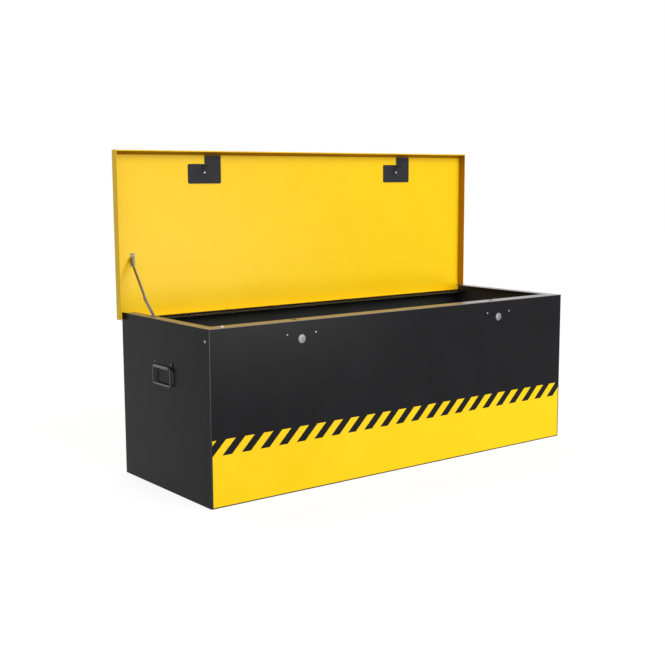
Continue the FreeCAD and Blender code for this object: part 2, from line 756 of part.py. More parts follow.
NOTCH_LOW = LOCK_Z + " + tongue_lip_below"
for side in SIDES:
    centre = lock_places[side]
    face = (centre, FRONT, LOCK_Z)
    case_blank = fuse(
        side + "_case_blank",
        prism(side + "_case_face", BARREL_SIDES, moved(face, "y", "-lock_face_height"), "+y",
              "lock_face_radius", "lock_face_height"),
        prism(side + "_case_barrel", BARREL_SIDES, face, "+y", "lock_barrel_radius", "lock_barrel_length"),
    )
    case_bore = bore(
        side + "_case_bore", BARREL_SIDES, moved(face, "y", "-lock_face_height - overrun"), "+y",
        "plug_radius + running_fit", "lock_face_height + lock_barrel_length + 2 * overrun")
    finish(cut(side + "_case", case_blank, case_bore), side + "_lock_case")

    bracket_blank = block(
        side + "_bracket_plate",
        (centre + " - lock_bracket_half_width", INNER_FRONT, LOCK_Z + " - lock_bracket_below"),
        (centre + " + lock_bracket_half_width", INNER_FRONT + " + gauge", LOCK_Z + " + lock_bracket_above"),
    )
    bracket_holes = [prism(
        side + "_bracket_bore", BARREL_SIDES, (centre, INNER_FRONT + " - overrun", LOCK_Z), "+y",
        "lock_barrel_radius + hole_clearance", "gauge + 2 * overrun")]
    lock_rivets = []
    for hand in ("-", "+"):
        mark = "a" if hand == "-" else "b"
        seat = (centre + hand + "lock_rivet_spread", FRONT, LOCK_Z + " + lock_rivet_rise")
        bracket_holes.append(hole(
            "%s_bracket_hole_%s" % (side, mark), moved(seat, "y", "gauge - overrun"), "+y",
            "lock_rivet_radius + rivet_fit", "gauge + 2 * overrun"))
        lock_rivets.append(rivet(
            "%s_lock_rivet_%s" % (side, mark), seat, "-y",
            "lock_rivet_radius", "lock_rivet_head_radius", "lock_rivet_head_height",
            "2 * gauge + lock_rivet_head_height", SMALL_SIDES))
    finish(cut(side + "_bracket", bracket_blank, *bracket_holes), side + "_lock_bracket")
    finish(group(side + "_lock_fixings", *lock_rivets), side + "_lock_rivets")

    nut_seat = (centre, INNER_FRONT + " + gauge", LOCK_Z)
    finish(cut(
        side + "_ring_nut",
        prism(side + "_ring_nut_blank", HEX_SIDES, nut_seat, "+y", "lock_nut_radius", "lock_nut_height"),
        prism(side + "_ring_nut_bore", BARREL_SIDES, moved(nut_seat, "y", "-overrun"), "+y",
              "lock_barrel_radius + rivet_fit", "lock_nut_height + 2 * overrun"),
    ), side + "_lock_nut")

    collar = moved(face, "y", "-lock_face_height - plug_end_float - plug_collar_height")
    hook_seat = (centre, HOOK_Y, LOCK_Z)
    plug_blank = fuse(
        side + "_plug_blank",
        prism(side + "_plug_collar", BARREL_SIDES, collar, "+y", "plug_collar_radius", "plug_collar_height"),
        rod(side + "_plug_core", collar, "+y", "plug_radius",
            "tongue_setback + lock_face_height + plug_end_float + plug_collar_height"),
        prism(side + "_plug_tail", SHANK_SIDES, hook_seat, "+y", "plug_tail_radius", "plug_tail_length"),
    )
    keyway = block(
        side + "_keyway",
        (centre + " - keyway_width / 2", collar[1] + " - overrun", LOCK_Z + " - keyway_height / 2"),
        (centre + " + keyway_width / 2", collar[1] + " + keyway_depth", LOCK_Z + " + keyway_height / 2"),
    )
    finish(cut(side + "_plug", plug_blank, keyway), side + "_lock_plug")

    # The hook is drawn unlocked: a quarter turn clockwise from where it holds the keep.
    sector = rod(side + "_hook_sweep", hook_seat, "+y", "hook_outer_radius", "hook_gauge")
    sector.Angle = hook_arm_end - hook_tip_angle
    arm = rod(side + "_hook_arm", hook_seat, "+y", "hook_outer_radius", "hook_gauge")
    arm.Angle = hook_arm_end - hook_arm_start
    for piece in (sector, arm):
        turn = FreeCAD.Rotation(DIRECTIONS["+y"], hook_arm_end) * piece.Placement.Rotation
        piece.Placement.Rotation = turn
    hollow = rod(
        side + "_hook_hollow", moved(hook_seat, "y", "-overrun"), "+y",
        "hook_inner_radius", "hook_gauge + 2 * overrun")
    hook_blank = fuse(
        side + "_hook_blank",
        cut(side + "_hook_rim", sector, hollow),
        arm,
        prism(side + "_hook_hub", BARREL_SIDES, hook_seat, "+y", "hook_hub_radius", "hook_gauge"),
    )
    hook_bore = hole(
        side + "_hook_bore", moved(hook_seat, "y", "-overrun"), "+y",
        "plug_tail_radius + rivet_fit", "hook_gauge + 2 * overrun")
    finish(cut(side + "_hook", hook_blank, hook_bore), side + "_lock_hook")
    nut_seat = moved(hook_seat, "y", "hook_gauge")
    finish(cut(
        side + "_tail_nut",
        prism(side + "_tail_nut_blank", HEX_SIDES, nut_seat, "+y", "hook_nut_radius", "hook_nut_height"),
        hole(side + "_tail_nut_bore", moved(nut_seat, "y", "-overrun"), "+y",
             "plug_tail_radius + rivet_fit", "hook_nut_height + 2 * overrun"),
    ), side + "_hook_nut")

    keep = doc.addObject("PartDesign::Body", side + "_keep_body")
    left_edge = centre + " - keep_left_reach"
    right_edge = centre + " + keep_right_reach"
    tab_top = LID_EDGE + " - lip_drop - keep_tab_clearance"
    plate = outline(keep, side + "_keep_outline", "XZ_Plane", "-" + LID_INNER, [
        (left_edge, LID_EDGE + " - keep_far_edge"),
        (right_edge, LID_EDGE + " - keep_far_edge"),
        (right_edge, tab_top),
        (centre + " + keep_tab_left", tab_top),
        (centre + " + keep_tab_left", LID_EDGE + " - keep_step_edge"),
        (left_edge, LID_EDGE + " - keep_step_edge"),
    ])
    pad(keep, side + "_keep_pad", plate, "keep_gauge")
    tongue = outline(keep, side + "_tongue_outline", "XY_Plane", TONGUE_Z + " - hook_gauge", [
        (centre + " - tongue_left", LID_INNER + " - keep_gauge / 2"),
        (centre + " - tongue_left", open_y(NOTCH_LOW + " - tongue_lip_height")),
        (centre + " + tongue_right", open_y(NOTCH_LOW + " - tongue_lip_height")),
        (centre + " + tongue_right", open_y(NOTCH_LOW)),
        (centre + " - tongue_left + tongue_stem_width", open_y(NOTCH_LOW)),
        (centre + " - tongue_left + tongue_stem_width", open_y(NOTCH_LOW + " + tongue_notch_height")),
        (centre + " + tongue_right", open_y(NOTCH_LOW + " + tongue_notch_height")),
        (centre + " + tongue_right", LID_INNER + " - keep_gauge / 2"),
    ])
    pad(keep, side + "_tongue_pad", tongue, "hook_gauge")
    corners = (
        (left_edge, LID_EDGE + " - keep_far_edge"),
        (right_edge, LID_EDGE + " - keep_far_edge"),
        (left_edge, LID_EDGE + " - keep_step_edge"),
    )
    keep_round = rounded(
        side + "_keep_corners", keep, "keep_corner_radius",
        lambda edge: runs_along(edge, DIRECTIONS["+y"])
        and any(near(edge, x=across, z=up) for across, up in corners))
    keep_holes = []
    fixings = []
    for number, (across, down) in enumerate(keep_places, start=1):
        seat = (centre + " + " + across, KEEP_FACE, LID_EDGE + " - " + down)
        fixings.append(rivet(
            "%s_keep_fixing_%d" % (side, number), seat, "-y",
            "keep_fixing_radius", "keep_fixing_head_radius", "keep_fixing_head_height",
            "keep_gauge + gauge", SMALL_SIDES))
        for holes, name in ((keep_holes, "keep_hole"), (lid_holes, "lid_keep_hole")):
            holes.append(hole(
                "%s_%s_%d" % (side, name, number), moved(seat, "y", "-overrun"), "+y",
                "keep_fixing_radius + rivet_fit", "keep_gauge + gauge + 2 * overrun"))
    seat = (centre, KEEP_FACE, LID_EDGE + " - keep_stud_row")
    for holes, name in ((keep_holes, "stud_hole"), (lid_holes, "lid_stud_hole")):
        holes.append(hole(
            "%s_%s" % (side, name), moved(seat, "y", "-overrun"), "+y",
            "keep_stud_radius + rivet_fit", "keep_gauge + gauge + 2 * overrun"))
    finish(cut(side + "_keep", keep_round, *keep_holes), side + "_keep_plate")
    finish(group(side + "_keep_heads", *fixings), side + "_keep_fixings")
    finish(rivet(
        side + "_stud", seat, "-y",
        "keep_stud_radius", "keep_stud_head_radius", "keep_stud_head_height",
        "keep_gauge + gauge"), side + "_keep_stud")

# Lid stay on the left: two flat arms between the rim and the lid.

foot = VECTOR(0, value(stay_a_y), value(stay_a_z))
head_y = "(%s - stay_head_below_lid)" % LID_INNER
head_z = "(%s + stay_head_reach)" % HINGE_Z
head = VECTOR(0, value(head_y), value(head_z))
hinge_point = VECTOR(0, value(HINGE_Y), value(HINGE_Z))
reach = head - hinge_point
head_shut = hinge_point + VECTOR(0, -reach.z, reach.y)
span_open = (head - foot).Length
span_shut = (head_shut - foot).Length
lower_length = (span_open * stay_slack_share - span_shut) / 2
upper_length = (span_open * stay_slack_share + span_shut) / 2
along = (lower_length ** 2 - upper_length ** 2 + span_open ** 2) / (2 * span_open)
aside = math.sqrt(lower_length ** 2 - along ** 2)
line = (head - foot) / span_open
knee = foot + line * along + VECTOR(0, line.z, -line.y) * aside

lower_outer = "(%s - side_clearance)" % RIM_EDGE
lower_inner = "(%s - stay_gauge)" % lower_outer
upper_outer = "(%s - side_clearance)" % lower_inner
upper_inner = "(%s - stay_gauge)" % upper_outer
ear_outer = "(%s - side_clearance)" % upper_inner
ear_inner = "(%s - stay_bracket_gauge)" % ear_outer


def stay_arm(name, start, stop, outer, length):
    """A flat arm with round ends and a hole at each pivot, laid between two points."""
    bar = doc.addObject("Part::Box", name + "_bar")
    bar.Length = length
    bind(bar, Width="2 * stay_half_width", Height="stay_gauge")
    bar.setExpression("Placement.Base.y", formula("-stay_half_width"))
    ends = []
    holes = []
    for mark, along_bar in (("a", "0"), ("b", "%.9f" % length)):
        ends.append(prism(
            "%s_end_%s" % (name, mark), BARREL_SIDES, (along_bar, "0", "0"), "+z",
            "stay_half_width", "stay_gauge"))
        holes.append(bore(
            "%s_hole_%s" % (name, mark), ROUND_SIDES, (along_bar, "0", "-overrun"), "+z",
            "stay_pin_radius + running_fit", "stay_gauge + 2 * overrun"))
    item = cut(name, fuse(name + "_blank", bar, *ends), *holes)
    tilt = math.degrees(math.atan2(stop.z - start.z, stop.y - start.y))
    lay = FreeCAD.Rotation(DIRECTIONS["+x"], tilt) * TO_SIDE
    item.Placement = FreeCAD.Placement(VECTOR(-value(outer), start.y, start.z), lay)
    return item


finish(stay_arm("LowerArm", foot, knee, lower_outer, lower_length), "stay_lower_arm")
finish(stay_arm("UpperArm", head, knee, upper_outer, upper_length), "stay_upper_arm")

foot_at = ("-(%s + stay_bracket_gauge)" % RIM_EDGE, stay_a_y, stay_a_z)
RIM_UNDER = "(body_height - gauge)"
body_bracket_blank = fuse(
    "StayBodyBlank",
    block("stay_body_foot",
          ("-(%s + stay_foot_width)" % RIM_EDGE, stay_a_y + " - stay_foot_half_length",
           RIM_UNDER + " - stay_bracket_gauge"),
          ("-" + RIM_EDGE, stay_a_y + " + stay_foot_half_length", RIM_UNDER)),
    block("stay_body_ear",
          (foot_at[0], stay_a_y + " - stay_ear_radius", stay_a_z),
          ("-" + RIM_EDGE, stay_a_y + " + stay_ear_radius", RIM_UNDER)),
    prism("stay_body_round", BARREL_SIDES, foot_at, "+x", "stay_ear_radius", "stay_bracket_gauge"),
)
body_bracket_holes = [bore(
    "stay_body_bore", ROUND_SIDES, moved(foot_at, "x", "-overrun"), "+x",
    "stay_pin_radius + rivet_fit", "stay_bracket_gauge + 2 * overrun")]
rim_rivets = []
for hand in ("-", "+"):
    mark = "a" if hand == "-" else "b"
    seat = ("-(%s + stay_foot_width * %g)" % (RIM_EDGE, stay_rivet_share),
            stay_a_y + hand + "stay_rivet_spread", "body_height")
    body_bracket_holes.append(hole(
        "stay_foot_hole_" + mark, moved(seat, "z", "-gauge + overrun"), "-z",
        "stay_rivet_radius + rivet_fit", "stay_bracket_gauge + 2 * overrun"))
    rim_rivets.append(rivet(
        "stay_rim_rivet_" + mark, seat, "+z",
        "stay_rivet_radius", "stay_rivet_head_radius", "stay_rivet_head_height",
        "gauge + stay_bracket_gauge + stay_rivet_head_height", SMALL_SIDES))
finish(cut("StayBodyBracket", body_bracket_blank, *body_bracket_holes), "stay_body_bracket")
finish(group("StayRimRivets", *rim_rivets), "stay_body_rivets")

# The lower pivot is flush on the side where the upper arm folds past it.
finish(fuse(
    "LowerPivot",
    rod("lower_pivot_shank", foot_at, "+x", "stay_pin_radius",
        "stay_bracket_gauge + side_clearance + stay_gauge"),
    prism("lower_pivot_head", ROUND_SIDES, foot_at, "-x", "stay_pin_head_radius", "stay_pin_head_height"),
), "stay_lower_pivot")

knee_rivet = fuse(
    "KneeRivet",
    prism("knee_shank", ROUND_SIDES, ("-" + upper_outer, "0", "0"), "+x", "stay_pin_radius", "stay_gauge"),
    prism("knee_head", ROUND_SIDES, ("-" + upper_inner, "0", "0"), "+x",
          "stay_pin_head_radius", "stay_pin_head_height"),
)
knee_rivet.Placement.Base = VECTOR(0, knee.y, knee.z)
finish(knee_rivet, "stay_mid_rivet")

ear_at = ("-" + ear_inner, head_y, head_z)
lid_bracket_blank = fuse(
    "StayLidBlank",
    block("stay_lid_foot",
          ("-" + ear_outer, LID_INNER + " - stay_bracket_gauge", head_z + " - stay_foot_half_length"),
          ("stay_foot_width - " + ear_outer, LID_INNER, head_z + " + stay_foot_half_length")),
    block("stay_lid_ear",
          ("-" + ear_outer, head_y, head_z + " - stay_ear_radius"),
          ("-" + ear_inner, LID_INNER, head_z + " + stay_ear_radius")),
    prism("stay_lid_round", BARREL_SIDES, ear_at, "-x", "stay_ear_radius", "stay_bracket_gauge"),
)
lid_bracket_holes = [bore(
    "stay_lid_bore", ROUND_SIDES, moved(ear_at, "x", "overrun"), "-x",
    "stay_pin_radius + rivet_fit", "stay_bracket_gauge + 2 * overrun")]
stay_lid_rivets = []
for hand in ("-", "+"):
    mark = "a" if hand == "-" else "b"
    seat = ("stay_foot_width * %g - %s" % (stay_rivet_share, ear_outer),
            LID_INNER + " - stay_bracket_gauge", head_z + hand + "stay_rivet_spread")
    for holes, name in ((lid_bracket_holes, "stay_lid_hole_"), (lid_holes, "lid_stay_hole_")):
        holes.append(hole(
            name + mark, moved(seat, "y", "-overrun"), "+y",
            "stay_rivet_radius + rivet_fit", "stay_bracket_gauge + gauge + 2 * overrun"))
    stay_lid_rivets.append(rivet(
        "stay_lid_rivet_" + mark, seat, "-y",
        "stay_rivet_radius", "stay_rivet_head_radius", "stay_rivet_head_height",
        "stay_bracket_gauge + gauge", SMALL_SIDES))
finish(cut("StayLidBracket", lid_bracket_blank, *lid_bracket_holes), "stay_lid_bracket")
finish(group("StayLidRivets", *stay_lid_rivets), "stay_lid_rivets")
finish(fuse(
    "UpperPivot",
    rod("upper_pivot_shank", ear_at, "-x", "stay_pin_radius",
        "stay_bracket_gauge + side_clearance + stay_gauge"),
    prism("upper_pivot_head", ROUND_SIDES, ear_at, "+x", "stay_pin_head_radius", "stay_pin_head_height"),
), "stay_upper_pivot")

finish(cut("Lid", lid_bent, *lid_holes), "lid_panel")
finish(hinge_leaf("HingeLidLeaf", 1, "+", lid_leaf_holes), "hinge_lid_leaf")
finish(group("LidLeafRivets", *lid_rivets), "hinge_lid_rivets")

# End handles: a plate with a rolled barrel and a wire bail that hangs in it.

BARREL_RADIUS = "(bail_wire_radius + running_fit + handle_barrel_wall)"
ARM_TOP = "handle_height - bail_bend_radius"
ARM_LOW = "handle_height - bail_drop + bail_bend_radius"
CORNER_Y = "bail_half_width - bail_bend_radius"


def wire_line():
    """The corners of the wire's middle line, from halfway up one arm and round the four bends."""
    points = [("bail_half_width", "(%s + %s) / 2" % (ARM_TOP, ARM_LOW))]
    bends = (("+", ARM_TOP), ("-", ARM_TOP), ("-", ARM_LOW), ("+", ARM_LOW))
    for turns, (hand, height) in enumerate(bends):
        for step in range(BEND_STEPS + 1):
            swing = (turns + step / BEND_STEPS) * QUARTER
            points.append((
                "%s(%s) + bail_bend_radius * cos(%g deg)" % (hand, CORNER_Y, swing),
                "%s + bail_bend_radius * sin(%g deg)" % (height, swing),
            ))
    return points


for side in SIDES:
    pivot = sided(side, END + " + handle_stand_off")
    low, high = between(side, END, END + " + handle_plate_gauge")
    flat = block(
        side + "_handle_flat",
        (low, "-handle_half_width", "handle_height - handle_plate_below"),
        (high, "handle_half_width", "handle_height + handle_plate_above"),
    )
    low, high = between(side, END + " + handle_plate_gauge / 2", END + " + handle_stand_off")
    ledge = block(
        side + "_handle_ledge",
        (low, "-handle_barrel_half_length", "handle_height + bail_wire_radius + running_fit"),
        (high, "handle_barrel_half_length", "handle_height + " + BARREL_RADIUS),
    )
    start = (pivot, "-handle_barrel_half_length", "handle_height")
    barrel = prism(
        side + "_handle_barrel", BARREL_SIDES, start, "+y", BARREL_RADIUS, "2 * handle_barrel_half_length")
    wire_way = rod(
        side + "_handle_bore", moved(start, "y", "-overrun"), "+y",
        "bail_wire_radius + running_fit", "2 * handle_barrel_half_length + 2 * overrun")
    plate_holes = []
    handle_rivets = []
    for hand in ("-", "+"):
        mark = "a" if hand == "-" else "b"
        seat = (sided(side, END + " + handle_plate_gauge"), hand + "handle_rivet_spread",
                "handle_height + handle_rivet_rise")
        plate_holes.append(hole(
            "%s_plate_hole_%s" % (side, mark),
            (sided(side, END + " - overrun"), seat[1], seat[2]), OUTWARD[side],
            "handle_rivet_radius + rivet_fit", "handle_plate_gauge + 2 * overrun"))
        handle_rivets.append(rivet(
            "%s_handle_rivet_%s" % (side, mark), seat, OUTWARD[side],
            "handle_rivet_radius", "handle_rivet_head_radius", "handle_rivet_head_height",
            "handle_plate_gauge + gauge + handle_rivet_head_height"))
    plate_blank = fuse(side + "_handle_blank", flat, ledge, barrel)
    finish(cut(side + "_handle", plate_blank, wire_way, *plate_holes), side + "_handle_plate")
    finish(group(side + "_handle_fixings", *handle_rivets), side + "_handle_rivets")

    line = doc.addObject("Sketcher::SketchObject", side + "_bail_line")
    line.Placement.Rotation = TO_SIDE
    bind(line, **{"Placement.Base.x": pivot})
    draw(line, wire_line())
    section = doc.addObject("Part::RegularPolygon", side + "_bail_section")
    section.Polygon = SMALL_SIDES
    bind(section, Circumradius="bail_wire_radius")
    for axis, rule in zip("xyz", (pivot, *wire_line()[0])):
        section.setExpression("Placement.Base." + axis, formula(rule))
    bail = doc.addObject("Part::Sweep", side + "_bail")
    bail.Sections = [section]
    bail.Spine = (line, [])
    bail.Solid = True
    bail.Transition = "Right corner"
    finish(bail, side + "_handle_bail")

doc.recompute()
for item in doc.Objects:
    states = [state for state in item.State if state in ("Invalid", "Error")]
    if states:
        raise RuntimeError("%s did not build: %s" % (item.Name, item.State))
os.makedirs("parts", exist_ok=True)
for item in NODES:
    shape = item.Shape
    if shape.isNull() or not shape.isValid():
        raise RuntimeError("%s has no valid shape" % item.Label)
    shape.exportStep("parts/%s.step" % item.Label)
    print("%-22s %2d solids %10.1f mm3" % (item.Label, len(shape.Solids), shape.Volume))
print("stay: foot %s head %s knee %s" % (foot, head, knee))
print("stay arms: lower %.3f upper %.3f" % (lower_length, upper_length))
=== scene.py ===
import json
import math
import bmesh
import bpy
from mathutils import Matrix, Vector


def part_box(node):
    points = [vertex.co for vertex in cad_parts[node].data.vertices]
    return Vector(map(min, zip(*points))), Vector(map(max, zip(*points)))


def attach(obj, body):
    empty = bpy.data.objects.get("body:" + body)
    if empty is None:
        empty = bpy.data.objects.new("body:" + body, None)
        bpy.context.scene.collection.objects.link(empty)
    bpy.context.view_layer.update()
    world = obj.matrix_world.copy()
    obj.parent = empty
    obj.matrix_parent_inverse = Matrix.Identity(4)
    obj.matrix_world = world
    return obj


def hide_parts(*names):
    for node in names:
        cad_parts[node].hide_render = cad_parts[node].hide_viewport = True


# Site tool box with its lid open. Metres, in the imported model's frame: +X right along the front,
# +Y back, +Z up. Sizes and places of pieces are written in millimetres.
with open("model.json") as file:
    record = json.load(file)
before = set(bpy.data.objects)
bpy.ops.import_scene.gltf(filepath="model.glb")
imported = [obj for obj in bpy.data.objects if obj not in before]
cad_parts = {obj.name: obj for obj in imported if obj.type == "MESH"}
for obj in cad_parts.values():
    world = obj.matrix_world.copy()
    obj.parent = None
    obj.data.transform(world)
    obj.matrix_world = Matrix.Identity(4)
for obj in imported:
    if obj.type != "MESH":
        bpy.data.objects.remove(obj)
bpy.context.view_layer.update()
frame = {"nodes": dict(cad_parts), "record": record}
MM = 0.001
SCENE = bpy.context.scene
RECORD = frame["record"]
BODY_OF = {
    node: body for body, nodes in RECORD["behaviour"]["bodies"].items() for node in nodes
}
SLOT_OF = {part["node"]: part["material_slot"] for part in RECORD["subparts"]}


# The camera comes first.

CAMERA_AT = (-2.1994, -2.7377, 0.8893)
CAMERA_YAW, CAMERA_PITCH, CAMERA_ROLL = 37.566, 7.969, -0.213
LENS_MM, SENSOR_MM = 59.52, 36


def aim_camera():
    """Stands the camera where the photograph was taken: to the left, a little above the chest."""
    yaw, pitch, roll = map(math.radians, (CAMERA_YAW, CAMERA_PITCH, CAMERA_ROLL))
    level = math.cos(pitch)
    ahead = Vector((math.sin(yaw) * level, math.cos(yaw) * level, -math.sin(pitch)))
    turn = ahead.to_track_quat("-Z", "Y").to_matrix().to_4x4() @ Matrix.Rotation(roll, 4, "Z")
    lens = bpy.data.cameras.new("camera")
    lens.sensor_width = SENSOR_MM
    lens.lens = LENS_MM
    camera = bpy.data.objects.new("camera", lens)
    camera.matrix_world = Matrix.Translation(CAMERA_AT) @ turn
    SCENE.collection.objects.link(camera)
    SCENE.camera = camera


aim_camera()


# Finishes: each starts from the real material and the way that its surface was made.


def linear(shade):
    """An sRGB hex colour as the linear colour that a shader takes."""
    parts = [int(shade[at:at + 2], 16) / 255 for at in (1, 3, 5)]
    return tuple(c / 12.92 if c <= 0.04045 else ((c + 0.055) / 1.055) ** 2.4 for c in parts) + (1,)


def add(finish, kind, settings=None, links=None):
    """Adds one node to a finish, with its settings and what is joined to its sockets."""
    item = finish.node_tree.nodes.new("ShaderNode" + kind)
    for name, value in (settings or {}).items():
        if isinstance(name, str) and hasattr(item, name):
            setattr(item, name, value)
        else:
            item.inputs[name].default_value = value
    for name, source in (links or {}).items():
        finish.node_tree.links.new(source, item.inputs[name])
    return item


def blank_finish(name):
    """A new finish with no nodes yet, and the place on the box in metres."""
    finish = bpy.data.materials.new(name)
    finish.use_nodes = True
    finish.node_tree.nodes.clear()
    return finish, add(finish, "TexCoord").outputs["Object"]


def close_finish(finish, shader):
    """Joins the shader to the finish's output."""
    add(finish, "OutputMaterial", links={"Surface": shader.outputs[0]})
    return finish


def two_tones(finish, source, deep, pale, low, high):
    """Settles a pattern into a run from a deep shade to a pale one."""
    tone = add(finish, "ValToRGB", links={"Fac": source})
    for stop, shade, place in zip(tone.color_ramp.elements, (deep, pale), (low, high)):
        stop.position = place
        stop.color = linear(shade)
    return tone.outputs["Color"]


def powder_coat(name, deep, pale, gloss, peel_mm=2.2, peel=0.05, shine=0.25):
    """Polyester powder coat on folded steel: baked on, so it is even and satin, with a fine
    orange peel that breaks up reflections and a cloudy change of depth too slight to see except
    where light rakes it."""
    # Grit of the powder is under 0.1 mm; drawn at 1.1 mm so that it shows.
    cloud_mm, grit_mm, peel_depth_mm, unevenness = 140, 1.1, 0.25, 0.035
    finish, place = blank_finish(name)
    cloud = add(finish, "TexNoise", {"Scale": 1 / (cloud_mm * MM), "Detail": 3, "Roughness": 0.6},
                {"Vector": place})
    grit = add(finish, "TexNoise", {"Scale": 1 / (grit_mm * MM), "Detail": 2}, {"Vector": place})
    rough = add(finish, "MapRange",
                {"From Min": 0.3, "From Max": 0.7,
                 "To Min": gloss - unevenness, "To Max": gloss + unevenness},
                {"Value": grit.outputs["Fac"]})
    skin = add(finish, "TexNoise", {"Scale": 1 / (peel_mm * MM), "Detail": 1.5}, {"Vector": place})
    bump = add(finish, "Bump", {"Strength": peel, "Distance": peel_depth_mm * MM},
               {"Height": skin.outputs["Fac"]})
    shader = add(finish, "BsdfPrincipled", {"IOR": 1.5, "Specular IOR Level": shine},
                 {"Base Color": two_tones(finish, cloud.outputs["Fac"], deep, pale, 0.3, 0.72),
                  "Roughness": rough.outputs["Result"], "Normal": bump.outputs["Normal"]})
    return close_finish(finish, shader)


def plated_steel(name, deep, pale, gloss, streak_mm=(60, 1.2, 1.2), patch_mm=9):
    """Plated metal: grey, with soft spangle patches and faint rolling marks along it."""
    # Rolling marks are about 0.1 mm wide; drawn at 1.2 mm so that they show.
    patch_share, smoother, rougher, mark_depth_mm = 0.4, 0.06, 0.08, 0.1
    finish, place = blank_finish(name)
    stretch = add(finish, "Mapping", {"Scale": tuple(1 / (size * MM) for size in streak_mm)},
                  {"Vector": place})
    rolling = add(finish, "TexNoise", {"Scale": 1, "Detail": 2},
                  {"Vector": stretch.outputs["Vector"]})
    patch = add(finish, "TexVoronoi", {"Scale": 1 / (patch_mm * MM)}, {"Vector": place})
    blend = add(finish, "Mix", {"data_type": "FLOAT", 0: patch_share},
                {2: rolling.outputs["Fac"], 3: patch.outputs["Distance"]})
    rough = add(finish, "MapRange",
                {"From Min": 0.25, "From Max": 0.7,
                 "To Min": gloss - smoother, "To Max": gloss + rougher},
                {"Value": blend.outputs[0]})
    bump = add(finish, "Bump", {"Strength": 0.08, "Distance": mark_depth_mm * MM},
               {"Height": rolling.outputs["Fac"]})
    shader = add(finish, "BsdfPrincipled", {"Metallic": 1.0},
                 {"Base Color": two_tones(finish, blend.outputs[0], deep, pale, 0.25, 0.7),
                  "Roughness": rough.outputs["Result"], "Normal": bump.outputs["Normal"]})
    return close_finish(finish, shader)


def moulded_nylon(name, deep, pale):
    """Injection-moulded nylon: faintly waxy, its skin dulled by the tool's fine spark texture."""
    # Spark texture is about 0.1 mm across; drawn at 0.9 mm so that it shows.
    spark_mm, spark_depth_mm = 0.9, 0.08
    finish, place = blank_finish(name)
    spark = add(finish, "TexNoise", {"Scale": 1 / (spark_mm * MM), "Detail": 3}, {"Vector": place})
    bump = add(finish, "Bump", {"Strength": 0.15, "Distance": spark_depth_mm * MM},
               {"Height": spark.outputs["Fac"]})
    shader = add(finish, "BsdfPrincipled", {"IOR": 1.53, "Roughness": 0.48},
                 {"Base Color": two_tones(finish, spark.outputs["Fac"], deep, pale, 0.2, 0.8),
                  "Normal": bump.outputs["Normal"]})
    return close_finish(finish, shader)


FINISHES = {
    # Satin, so the front holds a soft run of light and hardly any reflection.
    "black coat": powder_coat(
        "black powder coat on steel", "#151517", "#1a1a1c", 0.3, shine=0.075),
    # Paler than the outside: painted fill light on the chest's shaded inside faces.
    "black inside with painted fill light": powder_coat(
        "thin black powder coat inside the chest", "#323231", "#393938", 0.5, shine=0.1),
    # A painted reflection: the rim's top is painted a warm pale grey for the yellow lid that it
    # mirrors, and its coat is glossier.
    "black rim with painted reflection": powder_coat(
        "black coat on the rim with a painted reflection of the lid", "#635a58", "#6d6361", 0.3, peel=0.02, shine=0.5),
    # A powder coat draws back from cut edges and is thin there; the paler edge is also a painted
    # highlight along them.
    "black edge": powder_coat(
        "thin black coat with a painted highlight on cut edges", "#2e2e30", "#373739", 0.3, shine=0.3),
    # Warm and full, with a soft sheen towards the light.
    "yellow coat": powder_coat(
        "yellow powder coat on steel", "#ffcf05", "#ffd30d", 0.36, peel=0.04, shine=0.2),
    # Brown-orange: painted shade under the lid's turned lip and inside its side skirts; the lid's
    # cut edges take the same brown.
    "yellow edge and painted shade": powder_coat(
        "yellow coat darkened as painted shade in folds and on edges", "#aa740b", "#b9810f", 0.45, peel=0.04, shine=0.1),
    # A little paler than the coat, with long slow waves.
    "yellow film": powder_coat(
        "printed yellow vinyl film", "#ffcf0c", "#ffd417", 0.4, peel_mm=6, peel=0.02, shine=0.15),
    # Dipped, so it is matt and lumpy beside the powder coat.
    "keep coat": powder_coat(
        "black dipped coat on keeps", "#2b2b2e", "#323235", 0.5, peel_mm=1.6, peel=0.12,
        shine=0.1),
    # The dip is rubbed greyer and smoother where the keep is handled; the paler edge is also a
    # painted highlight.
    "keep edge": powder_coat(
        "worn black dip with a painted highlight on keep edges", "#3c3d40", "#47484b", 0.4, peel_mm=1.6, shine=0.3),
    # Bright bluish grey, dulled by handling.
    "zinc": plated_steel("zinc plated steel", "#85888c", "#abaeb2", 0.38),
    # Passivating turns zinc a warm straw grey; the warm tint is also a painted reflection of the
    # yellow lid.
    "stay zinc": plated_steel("straw passivated zinc on the stay", "#77726a", "#9d978a", 0.4),
    # The same zinc, duller, and darker and browner as painted shade on the lid.
    "stay bracket": plated_steel(
        "dull passivated zinc on the stay's lid plate", "#5b5148", "#7a6f64", 0.42),
    # Glossy, so the wire and barrel draw thin bright lines.
    "handle enamel": powder_coat(
        "black enamel on handles", "#1f1f21", "#28282a", 0.24, peel_mm=1.5, shine=0.75),
    # Deep black, so only a small soft light shows on each head.
    "rivet enamel": powder_coat(
        "black enamel on rivet heads", "#131315", "#19191b", 0.3, peel_mm=1.0, shine=0.2),
    # Blasted before plating, so it is bright but has no sharp reflection.
    "chrome": plated_steel(
        "satin chrome on brass", "#707174", "#848588", 0.46, streak_mm=(1.0, 1.0, 1.0),
        patch_mm=5),
    # Waxy black, a dull ring round the bright lock.
    "gasket": moulded_nylon("black moulded nylon washer", "#17171a", "#1e1e21"),
    # Waxy off-white.
    "nylon": moulded_nylon("pale moulded nylon", "#cfccc2", "#dcd9d0"),
}
